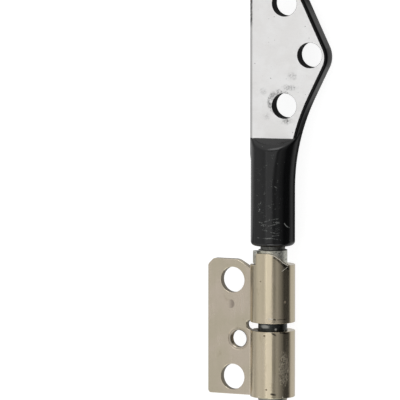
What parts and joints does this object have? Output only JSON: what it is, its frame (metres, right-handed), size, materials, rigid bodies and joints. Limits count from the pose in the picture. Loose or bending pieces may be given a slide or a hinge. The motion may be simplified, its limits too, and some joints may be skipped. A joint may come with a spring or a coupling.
{
  "type": "laptop hinge",
  "caption": "Friction hinge with a wrapped sheet-steel bracket, a steel shaft with a stop lug and a black cast arm with a machined face.",
  "frame": {"origin": "middle of the bracket plate's seating face", "axes": "+X from the plate to the pivot, +Y along the pivot to the arm, +Z away from the seating face"},
  "size_m": [0.0153, 0.0518, 0.0054],
  "materials": {
    "nickel_plate": "nickel plate, warm grey, lightly brushed and worn",
    "shaft_steel": "turned grey steel with a film of dark grease",
    "black_coat": "gloss black coat on a casting, with one bare machined face"
  },
  "bodies": {
    "bracket": {"bracket": "nickel_plate"},
    "arm": {"arm": "black_coat", "shaft": "shaft_steel"}
  },
  "joints": [
    {"name": "arm_swing", "type": "hinge", "parent": "bracket", "child": "arm", "pos_m": [0.00567, 0, 0.00045], "axis": [0, -1, 0], "range_deg": [0, 215]}
  ]
}
